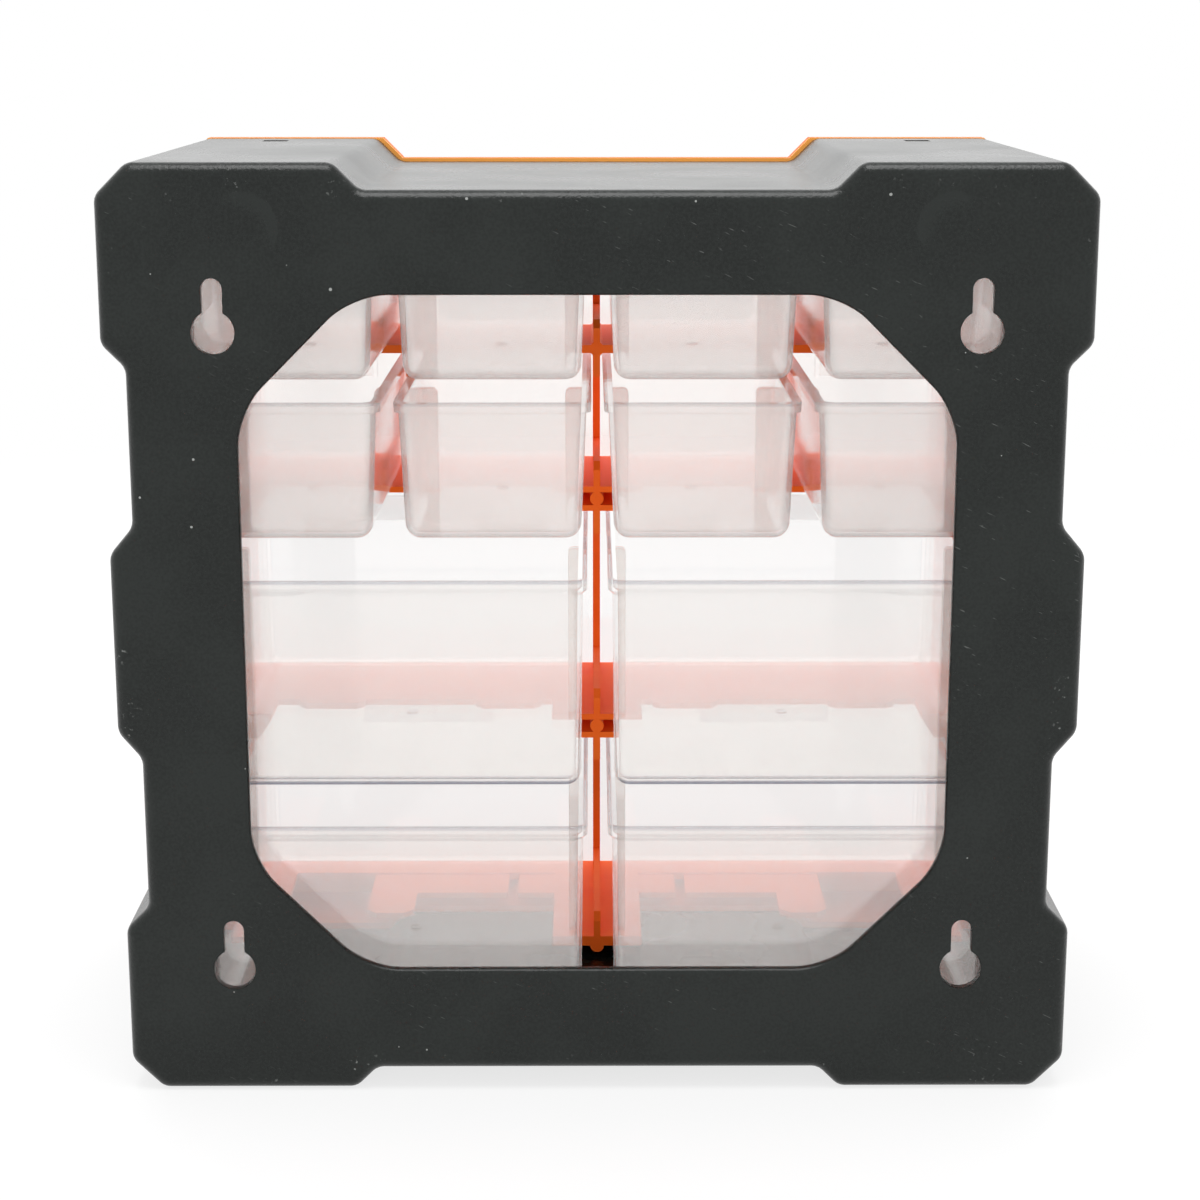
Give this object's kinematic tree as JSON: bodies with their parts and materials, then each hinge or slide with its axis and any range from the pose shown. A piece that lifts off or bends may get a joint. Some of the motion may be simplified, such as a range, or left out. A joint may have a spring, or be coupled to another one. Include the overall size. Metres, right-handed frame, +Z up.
{
  "type": "small parts drawer cabinet",
  "caption": "Desktop parts cabinet with notched sides, an open window in its back, a grid front frame and clear pull-out drawers in small and wide sizes.",
  "frame": {"origin": "middle of the base, at the middle of the overall depth", "axes": "front with the drawer pulls faces -Y, the back that hangs on a wall faces +Y, +X is to the right seen from the front, +Z is up"},
  "size_m": [0.261, 0.1604, 0.2547],
  "materials": {
    "casing": "fine grained satin",
    "frame": "satin",
    "milky": "translucent",
    "clear": "clear"
  },
  "bodies": {
    "carcass": {"casing": "casing", "front_frame": "frame"},
    "small_drawer_1": {"small_drawer_1": "milky"},
    "small_drawer_2": {"small_drawer_2": "milky"},
    "small_drawer_3": {"small_drawer_3": "milky"},
    "small_drawer_4": {"small_drawer_4": "milky"},
    "small_drawer_5": {"small_drawer_5": "milky"},
    "small_drawer_6": {"small_drawer_6": "milky"},
    "small_drawer_7": {"small_drawer_7": "milky"},
    "small_drawer_8": {"small_drawer_8": "milky"},
    "wide_drawer_1": {"wide_drawer_1": "clear"},
    "wide_drawer_2": {"wide_drawer_2": "clear"},
    "wide_drawer_3": {"wide_drawer_3": "clear"},
    "wide_drawer_4": {"wide_drawer_4": "clear"}
  },
  "joints": [
    {"name": "small_drawer_1_slide", "type": "slide", "parent": "carcass", "child": "small_drawer_1", "axis": [0, -1, 0], "range_m": [0, 0.1]},
    {"name": "small_drawer_2_slide", "type": "slide", "parent": "carcass", "child": "small_drawer_2", "axis": [0, -1, 0], "range_m": [0, 0.1]},
    {"name": "small_drawer_3_slide", "type": "slide", "parent": "carcass", "child": "small_drawer_3", "axis": [0, -1, 0], "range_m": [0, 0.1]},
    {"name": "small_drawer_4_slide", "type": "slide", "parent": "carcass", "child": "small_drawer_4", "axis": [0, -1, 0], "range_m": [0, 0.1]},
    {"name": "small_drawer_5_slide", "type": "slide", "parent": "carcass", "child": "small_drawer_5", "axis": [0, -1, 0], "range_m": [0, 0.1]},
    {"name": "small_drawer_6_slide", "type": "slide", "parent": "carcass", "child": "small_drawer_6", "axis": [0, -1, 0], "range_m": [0, 0.1]},
    {"name": "small_drawer_7_slide", "type": "slide", "parent": "carcass", "child": "small_drawer_7", "axis": [0, -1, 0], "range_m": [0, 0.1]},
    {"name": "small_drawer_8_slide", "type": "slide", "parent": "carcass", "child": "small_drawer_8", "axis": [0, -1, 0], "range_m": [0, 0.1]},
    {"name": "wide_drawer_1_slide", "type": "slide", "parent": "carcass", "child": "wide_drawer_1", "axis": [0, -1, 0], "range_m": [0, 0.1]},
    {"name": "wide_drawer_2_slide", "type": "slide", "parent": "carcass", "child": "wide_drawer_2", "axis": [0, -1, 0], "range_m": [0, 0.1]},
    {"name": "wide_drawer_3_slide", "type": "slide", "parent": "carcass", "child": "wide_drawer_3", "axis": [0, -1, 0], "range_m": [0, 0.1]},
    {"name": "wide_drawer_4_slide", "type": "slide", "parent": "carcass", "child": "wide_drawer_4", "axis": [0, -1, 0], "range_m": [0, 0.1]}
  ]
}
